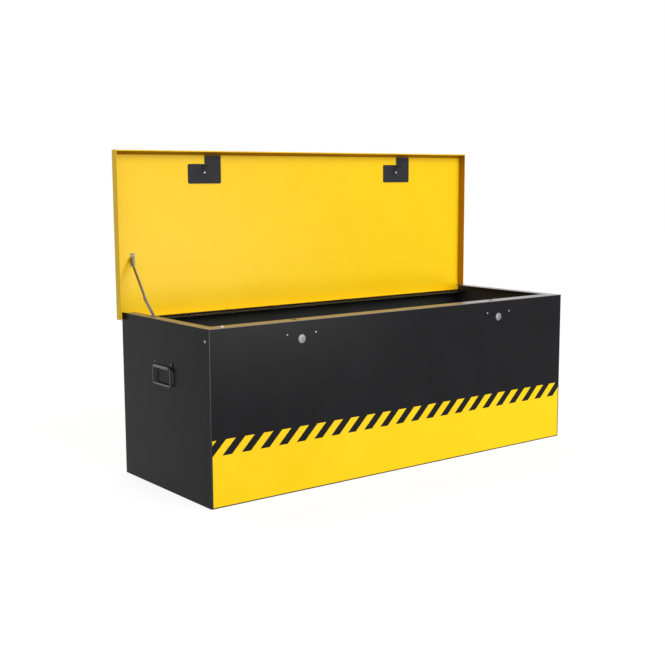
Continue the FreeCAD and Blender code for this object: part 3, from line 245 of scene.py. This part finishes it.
FINISH_OF = {
    "black_paint": "black coat",
    "yellow_paint": "yellow coat",
    "black_plastic_coat": "keep coat",
    "dark_steel": "handle enamel",
    "pale_nylon": "nylon",
    "satin_chrome": "chrome",
    "zinc_steel": "zinc",
}
for node, part in frame["nodes"].items():
    part.data.materials.clear()
    part.data.materials.append(FINISHES[FINISH_OF[SLOT_OF[node]]])


# Where things are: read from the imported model, in millimetres.

# Corners of the model, and points of a new piece, that are closer than this in metres are joined.
SAME_CORNER = 2e-6
SAME_POINT = 1e-6


def mm_box(node):
    """A node's lowest and highest corner."""
    low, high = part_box(node)
    return low / MM, high / MM


def loose_shape(node):
    """A copy of a node's mesh with its split corners joined again."""
    shape = bmesh.new()
    shape.from_mesh(frame["nodes"][node].data)
    bmesh.ops.remove_doubles(shape, verts=shape.verts, dist=SAME_CORNER)
    return shape


def solids(node):
    """The lowest and highest corner of each separate solid in a node."""
    shape = loose_shape(node)
    boxes = []
    waiting = set(shape.verts)
    while waiting:
        to_visit = [waiting.pop()]
        members = []
        while to_visit:
            vert = to_visit.pop()
            members.append(vert.co / MM)
            for edge in vert.link_edges:
                after = edge.other_vert(vert)
                if after in waiting:
                    waiting.remove(after)
                    to_visit.append(after)
        low, high = (Vector([pick(c) for c in zip(*members)]) for pick in (min, max))
        boxes.append((low, high))
    shape.free()
    return sorted(boxes, key=lambda box: [round(c, 2) for c in box[0]])


# Ways of making a piece.

FLAT_DEGREES = 0.6
SMOOTH_DEGREES = 35
CRISP_DEGREES = 40
EASE_STEPS = 2
ROUND_STEPS = 40
HEX_STEPS = 36


def keep_piece(name, shape, node, finish=None, stands_in=True, slot=None, smooth=SMOOTH_DEGREES,
               second=None):
    """Closes a mesh into a piece that rides with a node, and stands for it unless told otherwise.
    A second finish goes on the faces that its maker has marked."""
    bmesh.ops.remove_doubles(shape, verts=shape.verts, dist=SAME_POINT)
    bmesh.ops.recalc_face_normals(shape, faces=shape.faces)
    mesh = bpy.data.meshes.new(name)
    shape.to_mesh(mesh)
    shape.free()
    slot = slot or SLOT_OF[node]
    for coat in (finish or FINISH_OF[slot], second):
        if coat:
            mesh.materials.append(FINISHES[coat])
    piece = bpy.data.objects.new(name, mesh)
    SCENE.collection.objects.link(piece)
    mesh.shade_smooth()
    mesh.set_sharp_from_angle(angle=math.radians(smooth))
    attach(piece, BODY_OF[node])
    if stands_in:
        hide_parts(node)
    return piece


def eased_plate(name, node, edge_finish, ease, shortest=5, **more):
    """A sheet-metal piece with its cut edges eased, down to the shortest, and given a finish of
    their own.
    """
    shape = loose_shape(node)
    bmesh.ops.dissolve_limit(shape, angle_limit=math.radians(FLAT_DEGREES), verts=shape.verts,
                             edges=shape.edges)
    crisp = math.radians(CRISP_DEGREES)
    cut_edges = [
        line for line in shape.edges
        if line.is_manifold and line.calc_face_angle() > crisp
        and line.calc_length() > shortest * MM
    ]
    eased = bmesh.ops.bevel(shape, geom=cut_edges, offset=ease * MM, segments=EASE_STEPS,
                            profile=0.5, affect="EDGES", clamp_overlap=False)
    for face in eased["faces"]:
        face.material_index = 1
    return even_shading(keep_piece(name, shape, node, second=edge_finish, **more))


def even_shading(piece):
    """Keeps flat sheet flat to the eye up to its eased edges."""
    piece.modifiers.new("even shading", "WEIGHTED_NORMAL").keep_sharp = True
    bpy.context.view_layer.update()
    shaped = piece.evaluated_get(bpy.context.evaluated_depsgraph_get())
    mesh = bpy.data.meshes.new_from_object(shaped)
    piece.modifiers.clear()
    piece.data = mesh
    return piece


def refinish(piece, finish, chosen):
    """Puts another finish on the faces of a piece that a test picks."""
    coat, coats = FINISHES[finish], piece.data.materials
    if coat.name not in coats:
        coats.append(coat)
    place = coats.find(coat.name)
    for face in piece.data.polygons:
        if chosen(face):
            face.material_index = place


def hexagon(turn):
    """How near a hexagon's side comes to the middle, as a share of its corner's distance."""
    return math.cos(math.pi / 6) / math.cos(turn % (math.pi / 3) - math.pi / 6)


def turned(shape, at, axis, outline, sides, ring=False):
    """Adds a turned form: an outline of (radius, distance along the axis), spun about a point.
    A corner with a third value is on a hexagon, and a ring's outline closes on itself."""
    axis = Vector(axis)
    across = Vector((0, 0, 1)) if axis.x else Vector((1, 0, 0))
    up = axis.cross(across)
    hoops = []
    for radius, along, *on_hexagon in outline:
        centre = Vector(at) + axis * along
        if not radius:
            hoops.append([shape.verts.new(centre * MM)])
            continue
        hoop = []
        for number in range(sides):
            turn = 2 * math.pi * number / sides
            reach = radius * hexagon(turn) if on_hexagon else radius
            out = across * math.cos(turn) + up * math.sin(turn)
            hoop.append(shape.verts.new((centre + out * reach) * MM))
        hoops.append(hoop)
    for low, high in zip(hoops, hoops[1:] + (hoops[:1] if ring else [])):
        for number in range(sides):
            after = (number + 1) % sides
            if len(low) == 1:
                shape.faces.new((low[0], high[after], high[number]))
            elif len(high) == 1:
                shape.faces.new((low[number], low[after], high[0]))
            else:
                shape.faces.new((low[number], low[after], high[after], high[number]))


def extruded(shape, outline, to_place, start, stop):
    """Adds a bar with a convex section; to_place turns a distance and a corner into a point."""
    first, last = (
        [shape.verts.new(Vector(to_place(along, corner)) * MM) for corner in outline]
        for along in (start, stop)
    )
    shape.faces.new(first)
    shape.faces.new(list(reversed(last)))
    for number in range(len(outline)):
        after = (number + 1) % len(outline)
        shape.faces.new((first[after], first[number], last[number], last[after]))


def along_x(x, corner):
    """Places a section's corner (y, z) at a distance along the box."""
    return x, *corner


def through_y(y, corner):
    """Places a section's corner (x, z) at a depth through the box."""
    return corner[0], y, corner[1]


# Heads of small fasteners: each corner as (share of the radius, share of the height).

# A low dome with a dimple where its mandrel broke off.
BLIND_RIVET = [
    (0, 0.62), (0.2, 0.6), (0.27, 0.66), (0.32, 1), (0.55, 0.94), (0.78, 0.74), (0.93, 0.42),
    (1, 0.12), (0.985, 0),
]
# A soft round head, as snapped onto a solid rivet or a stud.
ROUND_HEAD = [(0, 1), (0.35, 0.96), (0.62, 0.85), (0.84, 0.6), (0.96, 0.3), (1, 0.06), (0.98, 0)]
# A hexagon head with its top corners turned off.
HEX_HEAD = [(0, 1), (0.82, 1), (1, 0.8, "hexagon"), (1, 0, "hexagon")]
# A moulded pad: a soft-edged button.
LANDING_PAD = [(0, 1), (0.55, 0.98), (0.82, 0.9), (0.95, 0.74), (1, 0.5), (1, 0)]
# A nut's faces end in a round land, and the smaller of two shares gives its chamfer.
NUT_LAND = 0.82
CHAMFER_OF_REACH, CHAMFER_OF_RADIUS = 0.4, 0.12


def seats(node, axis):
    """For each solid of a node: its middle, its reach along an axis, its radius and its foot."""
    for low, high in solids(node):
        half = (high - low) / 2
        radius = max(size for size, part in zip(half, axis) if not part)
        yield (low + high) / 2, abs(half.dot(axis)), radius, low.z


def fasteners(name, node, axis, profile, height, shank, sides=ROUND_STEPS, marked=None, **more):
    """A row of fasteners, one on each solid of a node, with their heads towards an axis. Those
    whose foot a test marks get the second finish."""
    shape = bmesh.new()
    axis = Vector(axis)
    for middle, reach, head, foot in seats(node, axis):
        made = set(shape.faces)
        length = 2 * reach - height
        outline = [(out * head, up * height, *kind) for out, up, *kind in profile]
        outline += [(shank, 0), (shank, -length), (0, -length)]
        turned(shape, middle + axis * (reach - height), axis, outline, sides)
        if marked and marked(foot):
            for face in set(shape.faces) - made:
                face.material_index = 1
    return keep_piece(name, shape, node, **more)


def hex_nuts(name, node, axis, bore):
    """Hexagon nuts, one on each solid of a node, chamfered on both faces and bored through."""
    shape = bmesh.new()
    axis = Vector(axis)
    for middle, reach, head, _ in seats(node, axis):
        slope = min(reach * CHAMFER_OF_REACH, head * CHAMFER_OF_RADIUS)
        land = head * NUT_LAND
        outline = [
            (bore, reach), (land, reach), (head, reach - slope, "hexagon"),
            (head, slope - reach, "hexagon"), (land, -reach), (bore, -reach),
        ]
        turned(shape, middle, axis, outline, HEX_STEPS, ring=True)
    return keep_piece(name, shape, node)


# The steel box: wrapper, end panels and lid, with eased edges.

RIM_DEPTH = 4
LIP_DEPTH = 16
# How far a face's direction has to point up, or down, out of 1.
MOSTLY_UPRIGHT = 0.5
# In metres: a face looks in when the middle is this far before it, and a skirt is this far out.
MIDDLE_AHEAD = 0.1
SKIRT_FROM = 0.5
rim_top = mm_box("body_wrapper")[1].z
lid_top = mm_box("lid_panel")[1].z
chest_middle = Vector((0, 0, rim_top * MM / 2))


def on_rim(face):
    """True for the top faces of the rim, where the lid's reflection is painted."""
    return face.center.z > (rim_top - RIM_DEPTH) * MM and face.normal.z > MOSTLY_UPRIGHT


def faces_inward(face):
    """True for a broad face that looks into the chest."""
    looks_in = face.normal.dot(chest_middle - face.center) > MIDDLE_AHEAD
    return face.material_index == 0 and looks_in


def in_lid_folds(face):
    """True under the turned lip and inside the side skirts, where the lid's shade is painted."""
    near_top = face.center.z > (lid_top - LIP_DEPTH) * MM
    inside_skirt = face.normal.x * face.center.x < -SKIRT_FROM
    return (near_top and face.normal.z < -MOSTLY_UPRIGHT) or inside_skirt


def coat_chest(piece):
    """Gives the sheets of the chest a painted reflection of the lid on the rim and painted fill
    light on the inside.
    """
    # Painted reflection: the rim's top faces take a warm pale black.
    refinish(piece, "black rim with painted reflection", on_rim)
    # Painted fill light: faces looking into the chest take a paler black.
    refinish(piece, "black inside with painted fill light", faces_inward)


coat_chest(eased_plate("chest_wrapper", "body_wrapper", "black edge", ease=0.5))
# Painted shade: faces under the lid's lip and inside its skirts take the darker brown.
refinish(eased_plate("lid_sheet", "lid_panel", "yellow edge and painted shade", ease=0.35), "yellow edge and painted shade",
         in_lid_folds)
for side in ("left", "right"):
    coat_chest(eased_plate(side + "_end_sheet", side + "_end_panel", "black edge", ease=0.9))


# The hinge: two leaves of thin strip, rolled round one pin.

LEAF_GAUGE = 1.2
KNUCKLE_PAIRS = 19
KNUCKLE_PLAY = 0.5
KNUCKLE_SMOOTH_DEGREES = 40
# In degrees from level: a knuckle starts under the pin and rolls on over it.
ROLL = range(-90, 216, 15)
PIN_SIDES = 24
PIN_DOME = 0.6
# The pin's soft end: each corner as (share of the radius, share of the dome).
PIN_END = [(0, 0), (0.7, 0.3), (1, 1)]


def buried(face):
    """True for a face that two neighbouring flats of a roll share."""
    return all(len(edge.link_faces) > 2 for edge in face.edges)


def hinge_leaf(name, node, edge, root, roll, own):
    """A leaf with every other knuckle, rolled up from its strip and open where the strip ends.
    The roll is a run of (outer, inner) corners, and own is the number of its first knuckle."""
    low, high = mm_box("hinge_body_leaf")
    count = 2 * KNUCKLE_PAIRS + 1
    pitch = (high.x - low.x) / count
    shape = bmesh.new()
    strip = [(edge, low.z), (root, low.z), (root, low.z + LEAF_GAUGE), (edge, low.z + LEAF_GAUGE)]
    extruded(shape, strip, along_x, low.x, high.x)
    for number in range(own, count, 2):
        start = low.x + pitch * number + KNUCKLE_PLAY / 2
        stop = low.x + pitch * (number + 1) - KNUCKLE_PLAY / 2
        for (outer, inner), (next_outer, next_inner) in zip(roll, roll[1:]):
            extruded(shape, (outer, inner, next_inner, next_outer), along_x, start, stop)
    bmesh.ops.remove_doubles(shape, verts=shape.verts, dist=SAME_POINT)
    inside = [face for face in shape.faces if len(face.verts) == 4 and buried(face)]
    bmesh.ops.delete(shape, geom=inside, context="FACES_ONLY")
    keep_piece(name, shape, node, smooth=KNUCKLE_SMOOTH_DEGREES)


def hinge():
    """Both leaves and the pin that they turn on."""
    low = mm_box("hinge_body_leaf")[0]
    far = mm_box("hinge_lid_leaf")[1].y
    pin_low, pin_high = mm_box("hinge_pin")
    axis_y, axis_z = (pin_low.y + pin_high.y) / 2, (pin_low.z + pin_high.z) / 2
    outer = axis_z - low.z
    inner = outer - LEAF_GAUGE
    for name, node, edge, hand, own in (
        ("hinge_leaf_on_chest", "hinge_body_leaf", low.y, 1, 0),
        ("hinge_leaf_on_lid", "hinge_lid_leaf", far, -1, 1),
    ):
        root = axis_y - hand * (outer + KNUCKLE_PLAY)
        roll = [((root, low.z), (root, low.z + LEAF_GAUGE))]
        for turn in map(math.radians, ROLL):
            out, up = hand * math.cos(turn), math.sin(turn)
            roll.append(tuple((axis_y + size * out, axis_z + size * up) for size in (outer, inner)))
        hinge_leaf(name, node, edge, root, roll, own)
    shape = bmesh.new()
    radius = (pin_high.z - pin_low.z) / 2
    length = pin_high.x - pin_low.x
    end = [(radius * out, PIN_DOME * along) for out, along in PIN_END]
    outline = end + [(out, length - along) for out, along in reversed(end)]
    turned(shape, (pin_low.x, axis_y, axis_z), (1, 0, 0), outline, PIN_SIDES)
    keep_piece("hinge_wire_pin", shape, "hinge_pin")


hinge()
fasteners("hinge_bolt_heads", "hinge_bolts", (0, 0, 1), HEX_HEAD, height=3.5, shank=2.4,
          sides=HEX_STEPS)
hex_nuts("hinge_hex_nuts", "hinge_nuts", (0, 0, 1), bore=2.45)
fasteners("hinge_rivet_heads", "hinge_lid_rivets", (0, 0, -1), ROUND_HEAD, height=1.2, shank=1.6)


# Locks, keeps and their fixings, the same on both sides of the front.

FLANGE_RADIUS = 12.4
FLANGE_HEIGHT = 2
WASHER_HEIGHT = 0.5
WASHER_EASE = 0.3
CASE_RADIUS = 11
CASE_BORE = 7.2
CASE_SIDES = 56
PLUG_RADIUS = 7
PLUG_TAIL_RADIUS = 4
COLLAR_HEIGHT = 0.8
PLUG_SIDES = 48
# Turned edges: each corner as (share of the radius, share of the height).
FLANGE_EDGE = [(0.93, 1), (0.98, 0.9), (1, 0.7)]
COLLAR_EDGE = [(0.93, 0), (1, 0.4), (1, 1)]
KEYWAY_WIDTH, KEYWAY_HEIGHT, KEYWAY_DEPTH = 1.8, 9, 3
SAME_DEPTH = 1e-3
HIGHLIGHT_RIVET_BAND = 60


def lock_case(side):
    """The flanged case through the front, and the washer that seals it."""
    node = side + "_lock_case"
    low, high = mm_box(node)
    wall = low.y + FLANGE_HEIGHT
    depth = high.y - wall
    seat = ((low.x + high.x) / 2, wall, (low.z + high.z) / 2)
    shape = bmesh.new()
    turned(shape, seat, (0, -1, 0), [
        (CASE_BORE, FLANGE_HEIGHT),
        *((FLANGE_RADIUS * out, FLANGE_HEIGHT * up) for out, up in FLANGE_EDGE),
        (FLANGE_RADIUS, WASHER_HEIGHT), (CASE_RADIUS, WASHER_HEIGHT),
        (CASE_RADIUS, -depth), (CASE_BORE, -depth),
    ], CASE_SIDES, ring=True)
    keep_piece(side + "_lock_flange", shape, node)
    shape = bmesh.new()
    washer_radius = (high.x - low.x) / 2
    turned(shape, seat, (0, -1, 0), [
        (CASE_RADIUS, WASHER_HEIGHT), (washer_radius - WASHER_EASE, WASHER_HEIGHT),
        (washer_radius, WASHER_HEIGHT / 2), (washer_radius, 0), (CASE_RADIUS, 0),
    ], CASE_SIDES, ring=True)
    keep_piece(side + "_lock_washer", shape, node, "gasket", stands_in=False,
               slot="black_plastic_coat")


def lock_plug(side):
    """The plug that the key turns, with its keyway upright."""
    node = side + "_lock_plug"
    low, high = mm_box(node)
    case_low, case_high = mm_box(side + "_lock_case")
    centre_x, centre_z = (case_low.x + case_high.x) / 2, (case_low.z + case_high.z) / 2
    collar = (high.x - low.x) / 2
    shoulder = mm_box(side + "_lock_hook")[0].y - low.y
    length = high.y - low.y
    shape = bmesh.new()
    turned(shape, (centre_x, low.y, centre_z), (0, 1, 0), [
        *((collar * out, COLLAR_HEIGHT * deep) for out, deep in COLLAR_EDGE),
        (PLUG_RADIUS, COLLAR_HEIGHT), (PLUG_RADIUS, shoulder),
        (PLUG_TAIL_RADIUS, shoulder), (PLUG_TAIL_RADIUS, length), (0, length),
    ], PLUG_SIDES)
    rim = sorted(
        (vert for vert in shape.verts if abs(vert.co.y / MM - low.y) < SAME_DEPTH),
        key=lambda vert: math.atan2(vert.co.z / MM - centre_z, vert.co.x / MM - centre_x))
    corners = [(-1, -1), (1, -1), (1, 1), (-1, 1)]
    mouths, floors = (
        [
            shape.verts.new(Vector((centre_x + x * KEYWAY_WIDTH / 2, low.y + deep,
                                    centre_z + z * KEYWAY_HEIGHT / 2)) * MM)
            for x, z in corners
        ]
        for deep in (0, KEYWAY_DEPTH)
    )
    # The face round the keyway is made in four fans, one to each side of the slot.
    quarter = PLUG_SIDES // 4
    for number in range(4):
        after = (number + 1) % 4
        first = quarter // 2 + quarter * number
        arc = [rim[step % PLUG_SIDES] for step in range(first, first + quarter + 1)]
        shape.faces.new([*arc, mouths[after], mouths[number]])
        shape.faces.new((mouths[number], mouths[after], floors[after], floors[number]))
    shape.faces.new(floors)
    keep_piece(side + "_lock_key_plug", shape, node)


for side, hand in (("left", -1), ("right", 1)):
    lock_case(side)
    lock_plug(side)
    fasteners(side + "_lock_rivet_heads", side + "_lock_rivets", (0, -1, 0), ROUND_HEAD,
              height=1.6, shank=1.6)
    eased_plate(side + "_lock_strap", side + "_lock_bracket", "black edge", ease=0.4)
    hex_nuts(side + "_lock_ring_nut", side + "_lock_nut", (0, 1, 0), bore=11.1)
    eased_plate(side + "_lock_hooked_cam", side + "_lock_hook", "zinc", ease=0.35, shortest=1.5)
    hex_nuts(side + "_lock_tail_nut", side + "_hook_nut", (0, 1, 0), bore=4.1)
    eased_plate(side + "_keep_with_tongue", side + "_keep_plate", "keep edge", ease=0.4,
                shortest=1.5)
    fasteners(side + "_keep_stud_head", side + "_keep_stud", (0, -1, 0), ROUND_HEAD, height=2.4,
              shank=2.5)
    fasteners(side + "_keep_fixing_heads", side + "_keep_fixings", (0, -1, 0), ROUND_HEAD,
              height=1.4, shank=1.6)
    # Rivets near the rim take bright zinc: a painted highlight on their heads.
    fasteners(side + "_end_rivet_heads", side + "_end_rivets", (hand, 0, 0), BLIND_RIVET,
              height=1.8, shank=2, finish="rivet enamel",
              marked=lambda foot: foot > rim_top - HIGHLIGHT_RIVET_BAND, second="zinc")


# End handles: a wire bail that hangs in a rolled plate.

HANDLE_GAUGE = 2
BARREL_CLEAR = 0.5
BAIL_BEND = 6
BAIL_BEND_STEPS = 8
WIRE_SIDES = 20


def wire_bail(side):
    """The bent wire of one handle: a closed hoop with four round bends."""
    node = side + "_handle_bail"
    low, high = mm_box(node)
    wire = (high.x - low.x) / 2
    centre_x = (low.x + high.x) / 2
    inset = wire + BAIL_BEND
    wide, foot, top = high.y - inset, low.z + inset, high.z - inset
    sideways = Vector((1, 0, 0))
    shape = bmesh.new()
    hoops = []
    for turns, (y, z) in enumerate(((wide, top), (-wide, top), (-wide, foot), (wide, foot))):
        for step in range(BAIL_BEND_STEPS + 1):
            swing = math.radians(90) * (turns + step / BAIL_BEND_STEPS)
            out = Vector((0, math.cos(swing), math.sin(swing)))
            centre = Vector((centre_x, y, z)) + out * BAIL_BEND
            hoop = []
            for number in range(WIRE_SIDES):
                turn = 2 * math.pi * number / WIRE_SIDES
                side_of_wire = (out * math.cos(turn) + sideways * math.sin(turn)) * wire
                hoop.append(shape.verts.new((centre + side_of_wire) * MM))
            hoops.append(hoop)
    for now, after in zip(hoops, hoops[1:] + hoops[:1]):
        for number in range(WIRE_SIDES):
            beside = (number + 1) % WIRE_SIDES
            shape.faces.new((now[number], now[beside], after[beside], after[number]))
    keep_piece(side + "_handle_wire", shape, node)


def rolled_plate(side):
    """The handle's plate. Its barrel has the wire's gloss, and the rest keeps the box's coat."""
    piece = eased_plate(side + "_handle_rolled_plate", side + "_handle_plate", "black edge",
                        ease=0.35, shortest=4, finish="black coat")
    panel_face = max(abs(corner.x) for corner in mm_box(side + "_end_panel"))
    barrel_from = (panel_face + HANDLE_GAUGE + BARREL_CLEAR) * MM
    refinish(piece, "handle enamel", lambda face: abs(face.center.x) > barrel_from)


for side, hand in (("left", -1), ("right", 1)):
    wire_bail(side)
    rolled_plate(side)
    fasteners(side + "_handle_rivet_heads", side + "_handle_rivets", (hand, 0, 0), BLIND_RIVET,
              height=1.8, shank=2)


# The folding stay on the left, and the pads that the lid lands on.

for name, node, edge_finish, finish in (
    ("stay_lower_bar", "stay_lower_arm", "zinc", "stay zinc"),
    ("stay_upper_bar", "stay_upper_arm", "zinc", "stay zinc"),
    ("stay_lid_plate", "stay_lid_bracket", "zinc", "stay bracket"),
    ("stay_chest_bracket", "stay_body_bracket", "black edge", None),
):
    eased_plate(name, node, edge_finish, ease=0.4, shortest=0.5, finish=finish)
for name, node, hand in (
    ("stay_foot_pivot", "stay_lower_pivot", -1),
    ("stay_knee_pivot", "stay_mid_rivet", 1),
    ("stay_head_pivot", "stay_upper_pivot", 1),
):
    fasteners(name, node, (hand, 0, 0), ROUND_HEAD, height=1.8, shank=3, finish="stay zinc")
for name, node, axis in (
    ("stay_chest_rivet_heads", "stay_body_rivets", (0, 0, -1)),
    ("stay_lid_rivet_heads", "stay_lid_rivets", (0, -1, 0)),
):
    fasteners(name, node, axis, ROUND_HEAD, height=1.2, shank=1.6)
fasteners("landing_pads", "lid_buffers", (0, 0, 1), LANDING_PAD, height=4.8, shank=2)


# Printed film on the front: a plain band with a border of slanted hazard stripes above it.

FILM_FACE, FILM_BACK = 0.14, 0.02
FILM_INSET = 2.5
BAND_FOOT, BAND_TOP = 4, 146
STRIPE_TOP, STRIPE_PITCH, STRIPE_LEAN = 190, 62, 44
# A hair's gap keeps each stripe a cut piece of its own.
STRIPE_GAP = 0.01


def trimmed(corners, low, high):
    """The part of a flat outline between two upright lines, or nothing."""
    for limit, keeps in ((low, lambda x: x >= low), (high, lambda x: x <= high)):
        kept = []
        for (x, z), (after_x, after_z) in zip(corners, corners[1:] + corners[:1]):
            if keeps(x):
                kept.append((x, z))
            if keeps(x) != keeps(after_x):
                kept.append((limit, z + (after_z - z) * (limit - x) / (after_x - x)))
        corners = kept
    return corners if len(corners) > 2 else []


def front_film():
    """The cut vinyl on the front's lower part, as thin as a print: a band and its stripes."""
    shape = bmesh.new()
    low, high = mm_box("body_wrapper")
    end = high.x - FILM_INSET
    cuts = [[(-end, BAND_FOOT), (end, BAND_FOOT), (end, BAND_TOP), (-end, BAND_TOP)]]
    foot = BAND_TOP + STRIPE_GAP
    start = -end - STRIPE_PITCH
    while start < end:
        stop = start + STRIPE_PITCH / 2
        slant = [(start, foot), (stop, foot), (stop + STRIPE_LEAN, STRIPE_TOP),
                 (start + STRIPE_LEAN, STRIPE_TOP)]
        cuts.append(trimmed(slant, -end, end))
        start += STRIPE_PITCH
    for cut in cuts:
        if cut:
            extruded(shape, cut, through_y, low.y - FILM_FACE, low.y - FILM_BACK)
    keep_piece("front_film", shape, "body_wrapper", "yellow film", stands_in=False,
               slot="yellow_paint")


front_film()


# The studio: a plain white floor and soft white light.

WHITE = (1, 1, 1, 1)
FLOOR_SIZE = 14
FLOOR_DROP = 0.0005
FLOOR_LIFT = 0.84
PAPER_CLOUDS_PER_METRE = 3
SKY_STRENGTH, CARD_STRENGTH = 0.4, 1
# Each sun: where its light comes from, its strength and its spread in degrees.
SUNS = {
    "key": ((0.25, -1.0, 0.62), 1.6, 40),
    "fill": ((-1.0, -0.55, 0.45), 0.6, 50),
    "back": ((0.3, 1.0, 0.9), 1.4, 60),
}
# Low and to the right, where the front mirrors it, so that the front's left is paler.
SOFT_BOX_AT = (1.3, -3.3, 0.4)
SOFT_BOX_TO = (-0.5, 0.1, 0.4)
SOFT_BOX_WIDTH, SOFT_BOX_HEIGHT, SOFT_BOX_WATTS = 1.1, 0.7, 34


def white_to_the_eye(tree):
    """1 where the camera, a reflection or clear plastic looks straight at the backdrop, else 0."""
    ray = add(tree, "LightPath")
    eye = add(tree, "Math", {"operation": "ADD"},
              {0: ray.outputs["Is Camera Ray"], 1: ray.outputs["Is Glossy Ray"]})
    return add(tree, "Math", {"operation": "ADD", "use_clamp": True},
               {0: eye.outputs[0], 1: ray.outputs["Is Transmission Ray"]}).outputs[0]


def lay_floor():
    """White paper that takes the box's shadow and is lifted to white for the eye."""
    shape = bmesh.new()
    bmesh.ops.create_grid(shape, x_segments=2, y_segments=2, size=FLOOR_SIZE)
    mesh = bpy.data.meshes.new("floor")
    shape.to_mesh(mesh)
    shape.free()
    floor = bpy.data.objects.new("floor", mesh)
    floor.location = (0, 0, -FLOOR_DROP)
    SCENE.collection.objects.link(floor)
    paper, place = blank_finish("white studio floor")
    cloud = add(paper, "TexNoise", {"Scale": PAPER_CLOUDS_PER_METRE}, {"Vector": place})
    tone = two_tones(paper, cloud.outputs["Fac"], "#7c7c7c", "#7f7f7f", 0.3, 0.7)
    matte = add(paper, "BsdfDiffuse", links={"Color": tone})
    seen = add(paper, "Math", {"operation": "MULTIPLY", 1: FLOOR_LIFT},
               {0: white_to_the_eye(paper)})
    lift = add(paper, "Emission", {"Color": WHITE}, {"Strength": seen.outputs[0]})
    close_finish(paper, add(paper, "AddShader", links={0: matte.outputs[0], 1: lift.outputs[0]}))
    mesh.materials.append(paper)


def hang_backdrop():
    """White to the eye, and a dimmer even light on everything else."""
    world = bpy.data.worlds.new("studio")
    SCENE.world = world
    world.use_nodes = True
    world.node_tree.nodes.clear()
    sky = add(world, "Background", {"Color": WHITE, "Strength": SKY_STRENGTH})
    card = add(world, "Background", {"Color": WHITE, "Strength": CARD_STRENGTH})
    both = add(world, "MixShader",
               links={0: white_to_the_eye(world), 1: sky.outputs[0], 2: card.outputs[0]})
    add(world, "OutputWorld", links={"Surface": both.outputs[0]})


def stand_lamp(lamp, shining, at=(0, 0, 0)):
    """Places a lamp and turns it so that it shines along a direction."""
    light = bpy.data.objects.new(lamp.name, lamp)
    light.location = at
    light.rotation_euler = shining.to_track_quat("-Z", "Y").to_euler()
    SCENE.collection.objects.link(light)


def stand_lamps():
    """Three wide suns and a soft box."""
    for name, (source, strength, spread) in SUNS.items():
        sun = bpy.data.lights.new(name, "SUN")
        sun.energy = strength
        sun.angle = math.radians(spread)
        stand_lamp(sun, -Vector(source))
    panel = bpy.data.lights.new("soft box", "AREA")
    panel.shape = "RECTANGLE"
    panel.size, panel.size_y = SOFT_BOX_WIDTH, SOFT_BOX_HEIGHT
    panel.energy = SOFT_BOX_WATTS
    stand_lamp(panel, Vector(SOFT_BOX_TO) - Vector(SOFT_BOX_AT), SOFT_BOX_AT)


lay_floor()
hang_backdrop()
stand_lamps()
SCENE.view_settings.view_transform = "Standard"
